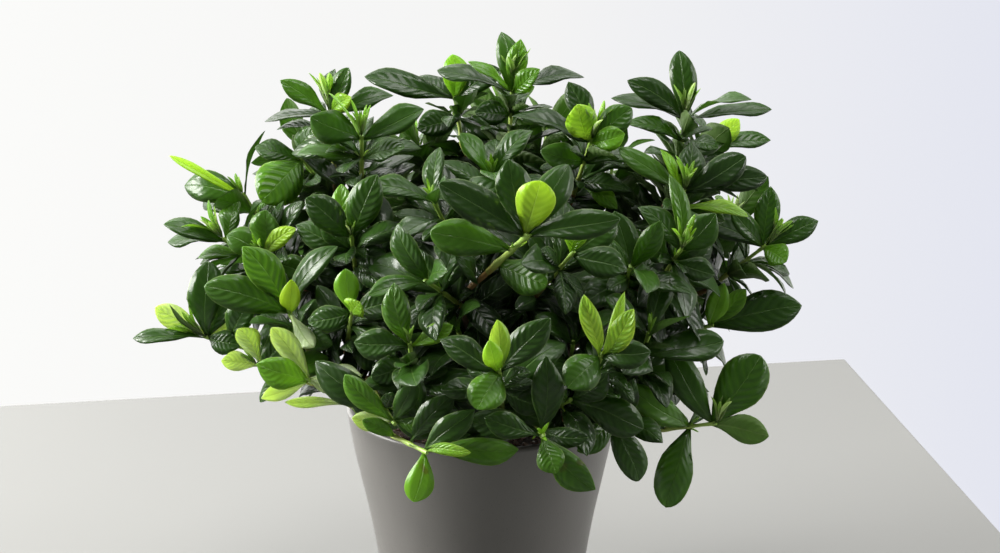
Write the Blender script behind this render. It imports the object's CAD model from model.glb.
"""The looks of a potted gardenia: its planter, potting mix, wood, leaves and new growth."""

import math
import random

import bmesh
import bpy
from mathutils import Matrix, Vector, noise
from mathutils.bvhtree import BVHTree


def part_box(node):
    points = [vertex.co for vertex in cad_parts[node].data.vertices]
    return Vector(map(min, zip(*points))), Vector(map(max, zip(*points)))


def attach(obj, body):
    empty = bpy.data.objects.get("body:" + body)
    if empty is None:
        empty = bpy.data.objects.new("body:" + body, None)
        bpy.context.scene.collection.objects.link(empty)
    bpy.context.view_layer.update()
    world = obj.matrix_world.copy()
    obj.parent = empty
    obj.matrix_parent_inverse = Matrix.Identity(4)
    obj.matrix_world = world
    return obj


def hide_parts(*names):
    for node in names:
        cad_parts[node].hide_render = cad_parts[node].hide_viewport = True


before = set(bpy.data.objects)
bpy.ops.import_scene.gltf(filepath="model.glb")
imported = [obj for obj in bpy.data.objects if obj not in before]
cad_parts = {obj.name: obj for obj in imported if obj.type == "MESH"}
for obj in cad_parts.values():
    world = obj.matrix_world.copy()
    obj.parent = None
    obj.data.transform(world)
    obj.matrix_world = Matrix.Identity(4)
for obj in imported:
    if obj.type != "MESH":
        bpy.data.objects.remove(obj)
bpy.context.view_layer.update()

# ================================================================ the planter
# One piece of satin grey stoneware, turned on a wheel: a waisted foot, a wall that flares to a soft
# rolled rim, and a plain inside. It is glazed thinly, so that a faint cloudiness shows in the grey.
MM = 0.001
PLANTER_TOP_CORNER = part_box("planter")[1]
RIM_RADIUS = PLANTER_TOP_CORNER.x
RIM_HEIGHT = PLANTER_TOP_CORNER.z
WALL = 6 * MM
FLOOR = 8 * MM
FLOOR_CORNER_RADIUS = 4 * MM
FOOT_EDGE_RADIUS = 1.6 * MM
BASE_HOLLOW = 1.5 * MM
TURNED_STEPS = 144
SAME_PLACE = 0.005 * MM
# Outer wall from the base up, as (radius, height) shares of the rim's.
OUTER_WALL = [(0.72, 0.0), (0.74, 0.0135), (0.755, 0.195), (0.79, 0.346), (0.845, 0.530), (0.91, 0.703),
              (0.96, 0.838), (0.99, 0.941), (1.0, 0.982)]


def smooth_line(points, steps):
    """A smooth line through the points, as steps samples a span."""
    line = []
    for i in range(len(points) - 1):
        before = points[max(i - 1, 0)]
        start, end = points[i], points[i + 1]
        after = points[min(i + 2, len(points) - 1)]
        for k in range(steps):
            t = k / steps
            line.append(0.5 * ((2 * start) + (end - before) * t
                               + (2 * before - 5 * start + 4 * end - after) * t * t
                               + (3 * start - before - 3 * end + after) * t ** 3))
    return line + [points[-1]]


def arc(centre, radius, start, end, steps):
    """Points on an arc in the profile's plane, with angles in degrees."""
    angles = [math.radians(start + (end - start) * k / steps) for k in range(steps + 1)]
    return [Vector((centre[0] + radius * math.cos(a), centre[1] + radius * math.sin(a))) for a in angles]


def turned(name, profile):
    """A closed mesh from a profile of (radius, height), both of whose ends are on the Z axis."""
    line = [profile[0]] + [p for before, p in zip(profile, profile[1:]) if (p - before).length > SAME_PLACE]
    rings = len(line) - 2
    points = [(0.0, 0.0, line[0].y)]
    for k in range(TURNED_STEPS):
        angle = math.tau * k / TURNED_STEPS
        points += [(p.x * math.cos(angle), p.x * math.sin(angle), p.y) for p in line[1:-1]]
    points.append((0.0, 0.0, line[-1].y))
    faces = []
    for k in range(TURNED_STEPS):
        here = 1 + rings * k
        there = 1 + rings * ((k + 1) % TURNED_STEPS)
        faces.append((0, here, there))
        faces += [(here + i, here + i + 1, there + i + 1, there + i) for i in range(rings - 1)]
        faces.append((here + rings - 1, len(points) - 1, there + rings - 1))
    mesh = bpy.data.meshes.new(name)
    mesh.from_pydata(points, [], faces)
    mesh.shade_smooth()
    return mesh


def placed(name, data):
    """A new object in the scene, of a mesh, a light or a camera."""
    obj = bpy.data.objects.new(name, data)
    bpy.context.scene.collection.objects.link(obj)
    return obj


def wall_radius(height):
    """The outer wall's radius at a height."""
    line = [(r * RIM_RADIUS, z * RIM_HEIGHT) for r, z in OUTER_WALL]
    for (r0, z0), (r1, z1) in zip(line, line[1:]):
        if z0 <= height <= z1:
            return r0 + (r1 - r0) * (height - z0) / (z1 - z0)
    return line[-1][0]


def planter_profile():
    """From the inside floor's centre up to the rolled rim and down the outside to the base's centre."""
    outside = smooth_line([Vector((r * RIM_RADIUS, z * RIM_HEIGHT)) for r, z in OUTER_WALL[1:]], 5)
    roll = WALL * 0.48
    rim_centre = (RIM_RADIUS - roll, RIM_HEIGHT - roll)
    rim = arc(rim_centre, roll, 0, 180, 10)
    floor_end = FLOOR + FLOOR_CORNER_RADIUS
    inside = [Vector((p.x - 2 * roll, p.y)) for p in outside if floor_end < p.y < rim_centre[1]]
    corner = arc((inside[0].x - FLOOR_CORNER_RADIUS, floor_end), FLOOR_CORNER_RADIUS, -90, 0, 4)
    foot = arc((OUTER_WALL[0][0] * RIM_RADIUS, FOOT_EDGE_RADIUS), FOOT_EDGE_RADIUS, -90, 0, 5)
    hollow = [Vector((0.66 * RIM_RADIUS, 0.0)), Vector((0.62 * RIM_RADIUS, BASE_HOLLOW)),
              Vector((0.0, BASE_HOLLOW))]
    body = [p for p in outside if FOOT_EDGE_RADIUS + 1 * MM < p.y < rim_centre[1]]
    return [Vector((0.0, FLOOR)), *corner, *inside, *reversed(rim), *reversed(body), *reversed(foot), *hollow]


class Value:
    """What comes out of a node's socket. Each sum with it is one node more in its tree."""

    def __init__(self, tree, socket):
        self.tree = tree
        self.socket = socket
        self.is_vector = socket.type == "VECTOR"

    def __add__(self, other):
        return calc(self.tree, "ADD", self, other)

    def __radd__(self, other):
        return calc(self.tree, "ADD", other, self)

    def __sub__(self, other):
        return calc(self.tree, "SUBTRACT", self, other)

    def __rsub__(self, other):
        return calc(self.tree, "SUBTRACT", other, self)

    def __mul__(self, other):
        return calc(self.tree, "SCALE" if self.is_vector else "MULTIPLY", self, other)

    def __truediv__(self, other):
        return calc(self.tree, "DIVIDE", self, other)

    def __pow__(self, other):
        return calc(self.tree, "POWER", self, other)

    def __neg__(self):
        return self * -1.0

    def __abs__(self):
        return calc(self.tree, "ABSOLUTE", self)

    def __lt__(self, other):
        return calc(self.tree, "LESS_THAN", self, other)

    def __gt__(self, other):
        return calc(self.tree, "GREATER_THAN", self, other)


def wire(tree, value, socket):
    """Feeds a socket from a node, or sets it to a number, vector, colour or material."""
    if isinstance(value, Value):
        value = value.socket
    if isinstance(value, bpy.types.NodeSocket):
        tree.links.new(value, socket)
    elif socket.type == "RGBA":
        socket.default_value = (*value, 1)
    else:
        socket.default_value = value


def feed(tree, node, **inputs):
    """Wires a node's inputs by name, with underscores for spaces."""
    for key, value in inputs.items():
        wire(tree, value, node.inputs[key.replace("_", " ")])


def add(tree, kind, settings=None, **inputs):
    """One node, with its settings and its inputs by name."""
    node = tree.nodes.new(kind)
    for key, value in (settings or {}).items():
        setattr(node, key, value)
    feed(tree, node, **inputs)
    return node


def calc(tree, operation, *values):
    """One Math node, or one Vector Math node if the first value is a vector. Serves trees of both kinds."""
    is_vector = isinstance(values[0], Value) and values[0].is_vector
    node = add(tree, "ShaderNodeVectorMath" if is_vector else "ShaderNodeMath", {"operation": operation})
    wire(tree, values[0], node.inputs[0])
    if len(values) > 1:
        wire(tree, values[1], node.inputs["Scale"] if operation == "SCALE" else node.inputs[1])
    if len(values) > 2:
        wire(tree, values[2], node.inputs[2])
    return Value(tree, node.outputs[0])


def ranged(tree, value, low, high, to_low, to_high, kind="SMOOTHSTEP"):
    """One Map Range node."""
    node = add(tree, "ShaderNodeMapRange", {"interpolation_type": kind}, Value=value, From_Min=low,
               From_Max=high, To_Min=to_low, To_Max=to_high)
    return Value(tree, node.outputs["Result"])


def noise_of(tree, scale, detail=3.0, roughness=0.5, stretch=(1, 1, 1)):
    """Noise on the piece's own Object coordinates, in metres."""
    place = add(tree, "ShaderNodeTexCoord").outputs["Object"]
    mapped = add(tree, "ShaderNodeMapping", Scale=stretch, Vector=place).outputs["Vector"]
    node = add(tree, "ShaderNodeTexNoise", Scale=scale, Detail=detail, Roughness=roughness, Vector=mapped)
    return Value(tree, node.outputs["Fac"])


def blended(tree, share, first, second, blend="MIX"):
    """One colour Mix node."""
    node = add(tree, "ShaderNodeMix", {"data_type": "RGBA", "blend_type": blend})
    for value, socket in ((share, 0), (first, 6), (second, 7)):
        wire(tree, value, node.inputs[socket])
    return node.outputs[2]


def bump(tree, height, distance, strength=1.0):
    """The normal of a surface on which a height of 1 stands distance metres proud."""
    return add(tree, "ShaderNodeBump", Strength=strength, Distance=distance, Height=height).outputs["Normal"]


def new_material(name):
    """(material, its node tree, its Principled BSDF)."""
    made = bpy.data.materials.new(name)
    made.use_nodes = True
    return made, made.node_tree, made.node_tree.nodes["Principled BSDF"]


def glaze():
    """Satin grey glaze: cloudy grey, with pinholes."""
    material, tree, shader = new_material("satin_grey_glaze")
    cloud = noise_of(tree, 14.0, 4.0, 0.6, (1, 1, 0.5))
    grain = noise_of(tree, 900.0, 2.0)
    grey = blended(tree, cloud, (0.094, 0.090, 0.084), (0.127, 0.122, 0.115))
    pinholes = ranged(tree, grain, 0.66, 0.74, 0.0, 0.45)
    feed(tree, shader, Base_Color=blended(tree, pinholes, grey, (0.055, 0.052, 0.050)),
         Roughness=ranged(tree, cloud, 0.3, 0.7, 0.36, 0.46), Specular_IOR_Level=0.42,
         Normal=bump(tree, cloud * 0.7 + grain * 0.12, 0.5 * MM))
    return material


planter = placed("planter", turned("planter", planter_profile()))
planter.data.materials.append(glaze())
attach(planter, "root")
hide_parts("planter")

# ================================================================ the potting mix
# Dark peat mixed with composted bark and white perlite, filled to a little under the rim. It is
# mounded round the canes and watered often, so the top is lumpy and the chips lie every way.
SOIL_TOP = 168 * MM
SOIL_MOUND = 3 * MM
SOIL_GAP = 0.5 * MM
SOIL_EDGE = wall_radius(SOIL_TOP) - WALL - SOIL_GAP
# What lies loose on top: its count, longest size, flatness, seed, dark and light colour, and grain.
HEAPS = {
    "bark_chips": (1500, 7.5 * MM, 0.4, 3, (0.022, 0.012, 0.007), (0.115, 0.062, 0.034), 700.0),
    "perlite": (170, 4.2 * MM, 0.75, 8, (0.46, 0.44, 0.40), (0.72, 0.70, 0.66), 900.0),
}


def peat():
    """Nearly black peat with lighter, lumpy fibres."""
    material, tree, shader = new_material("damp_peat")
    lumps = noise_of(tree, 260.0, 6.0, 0.7)
    feed(tree, shader, Base_Color=blended(tree, lumps, (0.010, 0.007, 0.005), (0.052, 0.034, 0.022)),
         Roughness=0.9, Normal=bump(tree, lumps, 2.5 * MM))
    return material


def crumb(name, dark, light, scale):
    """The finish of loose crumbs in the mix."""
    material, tree, shader = new_material(name)
    grain = noise_of(tree, scale, 4.0, 0.6)
    feed(tree, shader, Base_Color=blended(tree, ranged(tree, grain, 0.35, 0.65, 0, 1), dark, light),
         Roughness=0.85, Normal=bump(tree, grain, 0.6 * MM))
    return material


def mix_profile():
    """Over the mound to the wall, down along the wall, and in along the planter's floor."""
    rings = 26
    shares = [k / rings for k in range(rings + 1)]
    top = [Vector((SOIL_EDGE * share, SOIL_TOP + SOIL_MOUND * (1 - share ** 2))) for share in shares]
    heights = (0.8 * SOIL_TOP, 0.4 * SOIL_TOP, FLOOR + 6 * MM)
    down = [Vector((wall_radius(height) - WALL - SOIL_GAP, height)) for height in heights]
    return top + down + [Vector((0.0, FLOOR + 1 * MM))]


def node_tree(name, sizes):
    """A Geometry Nodes tree with a Geometry socket each way and a named input for each size."""
    tree = bpy.data.node_groups.new(name, "GeometryNodeTree")
    tree.interface.new_socket("Geometry", in_out="INPUT", socket_type="NodeSocketGeometry")
    for size, value in sizes.items():
        kind = "NodeSocketInt" if isinstance(value, int) else "NodeSocketFloat"
        tree.interface.new_socket(size, in_out="INPUT", socket_type=kind).default_value = value
    tree.interface.new_socket("Geometry", in_out="OUTPUT", socket_type="NodeSocketGeometry")
    given = add(tree, "NodeGroupInput").outputs
    return tree, given["Geometry"], [Value(tree, given[size]) for size in sizes], add(tree, "NodeGroupOutput")


def step(tree, kind, output, settings=None, **inputs):
    """What one Geometry Nodes node puts out."""
    return add(tree, "GeometryNode" + kind, settings, **inputs).outputs[output]


def finished(obj, tree, sizes=None):
    """The plain mesh that the tree makes of an object, whose inputs are set by their identifiers."""
    modifier = obj.modifiers.new(tree.name, "NODES")
    modifier.node_group = tree
    for item in tree.interface.items_tree:
        if item.in_out == "INPUT" and item.name in (sizes or {}):
            modifier[item.identifier] = sizes[item.name]
    graph = bpy.context.evaluated_depsgraph_get()
    mesh = bpy.data.meshes.new_from_object(obj.evaluated_get(graph), preserve_all_data_layers=True,
                                           depsgraph=graph)
    obj.modifiers.remove(modifier)
    return mesh


def random_vector(tree, low, high, **inputs):
    """A Random Value node that gives vectors."""
    kind = {"data_type": "FLOAT_VECTOR"}
    return add(tree, "FunctionNodeRandomValue", kind, Min=low, Max=high, **inputs).outputs["Value"]


def scattered_crumbs():
    """Low-poly crumbs, each turned its own way, on the faces that look up."""
    sizes = {"Count": 100, "Longest": 5 * MM, "Flatness": 0.4, "Seed": 1}
    tree, ground, (count, longest, flatness, seed), made = node_tree("scattered_crumbs", sizes)
    normal = add(tree, "ShaderNodeSeparateXYZ", Vector=step(tree, "InputNormal", "Normal"))
    looks_up = Value(tree, normal.outputs["Z"]) > 0.6
    points = step(tree, "DistributePointsOnFaces", "Points", Mesh=ground, Selection=looks_up,
                  Density=count / (math.pi * SOIL_EDGE ** 2), Seed=seed)
    lump = step(tree, "MeshIcoSphere", "Mesh", Radius=0.5, Subdivisions=1)
    rough = step(tree, "SetPosition", "Geometry", Geometry=lump,
                 Offset=random_vector(tree, (-0.16, -0.16, -0.16), (0.16, 0.16, 0.16)))
    turn = random_vector(tree, (-0.5, -0.5, 0.0), (0.5, 0.5, math.tau), Seed=seed)
    size = add(tree, "FunctionNodeRandomValue", {"data_type": "FLOAT"})
    for socket, limit in zip([s for s in size.inputs if s.type == "VALUE" and s.enabled], (0.35, 1.0)):
        socket.default_value = limit
    long = Value(tree, size.outputs[1]) * longest
    shape = add(tree, "ShaderNodeCombineXYZ", X=long, Y=long * 0.62, Z=long * flatness)
    crumbs = step(tree, "InstanceOnPoints", "Instances", Points=points, Instance=rough, Rotation=turn,
                  Scale=shape.outputs[0])
    real = step(tree, "RealizeInstances", "Geometry", Geometry=crumbs)
    finish = add(tree, "GeometryNodeSetMaterial", Geometry=real)
    tree.links.new(finish.outputs["Geometry"], made.inputs["Geometry"])
    return tree, finish.inputs["Material"]


def build_mix():
    """The mounded, lumpy mix, with its loose chips as pieces of their own."""
    mesh = turned("potting_mix", mix_profile())
    for vert in mesh.vertices:
        inside = 1.0 - (math.hypot(vert.co.x, vert.co.y) / SOIL_EDGE) ** 8
        if vert.co.z > SOIL_TOP - 1 * MM and inside > 0:
            lump = noise.noise(vert.co * 90) * 1.6 + noise.noise(vert.co * 260) * 1.0
            vert.co.z += lump * MM * inside
    mesh.materials.append(peat())
    mix = placed("potting_mix", mesh)
    tree, material = scattered_crumbs()
    for name, (count, longest, flatness, seed, dark, light, grain) in HEAPS.items():
        material.default_value = crumb(name.removesuffix("s"), dark, light, grain)
        sizes = {"Count": count, "Longest": longest, "Flatness": flatness, "Seed": seed}
        heap = placed(name, finished(mix, tree, sizes))
        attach(heap, "root")
    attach(mix, "root")
    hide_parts("potting_mix")


build_mix()

# ================================================================ the run of the wood
# Five canes stand in the mix. Each is one grown piece: a woody foot, its limbs, and the brown branches
# that carry the green shoots. The points are in millimetres, and a side limb starts on the first one.
UP = Vector((0.0, 0.0, 1.0))
GAP = 0.3 * MM  # between two pieces that touch in the real plant
ROOT_DEPTH = 38 * MM
LIMB_RADII = (5.5, 2.6)  # millimetres, foot to end
SIDE_LIMB_RADII = (LIMB_RADII[0] * 0.7, LIMB_RADII[1] * 0.75)
LIMB_JOINTS = [k / 6 for k in range(1, 6)]
BRANCH_RADII = (2.4, 1.7)
TWIG_RADII = (1.6, 1.2)
TWIG_LENGTH = 46 * MM
TWIG_SAMPLES = 17
BRANCH_POINTS = 4
BRANCH_END = 4 * MM  # the straight end that meets a green shoot
FORK_TURN = 0.6  # the turn, in radians, that a branch makes off its limb at no cost
FORK_TURN_COST = 0.06  # metres of reach that a radian more is worth
CANES = {
    "cane_left": {
        "left_upper": [(-26, 0, 176), (-46, 2, 215), (-76, 0, 262), (-100, 0, 305), (-112, 0, 330)],
        "left_lower": [(-30, -2, 182), (-48, -36, 194), (-62, -68, 202), (-76, -88, 209)],
    },
    "cane_front": {
        "front_upper": [(-2, -28, 176), (0, -46, 215), (-4, -66, 250), (-12, -84, 282)],
        "front_low_left": [(-3, -32, 181), (-20, -64, 200), (-38, -100, 210)],
        "front_low_right": [(0, -33, 185), (16, -62, 202), (32, -92, 212)],
    },
    "cane_right": {
        "right_upper": [(28, -4, 176), (54, -6, 215), (90, -10, 262), (116, -16, 305), (126, -20, 322)],
        "right_lower": [(32, -6, 182), (68, -38, 198), (104, -66, 206)],
    },
    "cane_crown": {
        "crown": [(0, 2, 176), (4, 4, 235), (8, 8, 290), (12, 12, 335)],
    },
    "cane_back": {
        "back_upper": [(2, 32, 176), (5, 54, 222), (5, 78, 272), (5, 92, 310)],
        "back_left": [(0, 36, 184), (-44, 70, 208), (-92, 92, 230)],
        "back_right": [(5, 37, 188), (50, 74, 208), (100, 90, 228)],
    },
}



def bow(start, start_way, end, end_way, count):
    """A cubic curve from start to end that leaves and arrives the given ways."""
    reach = (end - start).length / 3
    first, last = start + start_way * reach, end - end_way * reach
    line = []
    for k in range(count):
        t = k / (count - 1)
        line.append(start * (1 - t) ** 3 + first * 3 * t * (1 - t) ** 2
                    + last * 3 * t * t * (1 - t) + end * t ** 3)
    return line


def line_at(line, share):
    """(point, way) at a share of a line's length."""
    spans = [(b - a).length for a, b in zip(line, line[1:])]
    left = share * sum(spans)
    for a, b, span in zip(line, line[1:], spans):
        if left <= span:
            return a.lerp(b, left / span), (b - a).normalized()
        left -= span
    return line[-1], (line[-1] - line[-2]).normalized()


def limb_lines(samples):
    """Limb name: its line. A cane's first limb also has a straight foot down in the mix."""
    lines = {}
    for cane in CANES.values():
        for i, (name, points) in enumerate(cane.items()):
            lines[name] = smooth_line([Vector(p) * MM for p in points], samples)
            if i == 0:
                foot = Vector((*points[0][:2], 0)) * MM
                lines[name].insert(0, foot + UP * (SOIL_TOP - ROOT_DEPTH + GAP))
    return lines


def fork_on(line, base):
    """The point of a limb from which a branch reaches base with little turn, and the limb's way."""
    best = None
    for i in range(3, len(line)):
        way = (line[i] - line[i - 1]).normalized()
        reach = base - line[i]
        turn = way.angle(reach) if reach.length > MM else 0.0
        cost = reach.length + FORK_TURN_COST * max(0.0, turn - FORK_TURN)
        if best is None or cost < best[0]:
            best = (cost, line[i], way)
    return best[1], best[2]


# ================================================================ the green shoots
# Each soft shoot is one season's growth: a green stem on the end of a brown branch, with its leaves in
# whorls and a tuft of new growth at its top. New leaves are small and lime, old ones broad and dark.
LEAVES_PER_SHOOT = 7
# Leaf joints along a shoot, as shares of its length down from the top, with the count, the angle
# off the shoot, the length and the tone of the leaves that fill each joint.
JOINTS = [
    {"down": 0.07, "leaves": 3, "open": 48, "length": 46 * MM, "tone": 0.22},
    {"down": 0.42, "leaves": 3, "open": 66, "length": 54 * MM, "tone": 0.14},
    {"down": 0.78, "leaves": 2, "open": 82, "length": 56 * MM, "tone": 0.08},
]
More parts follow.
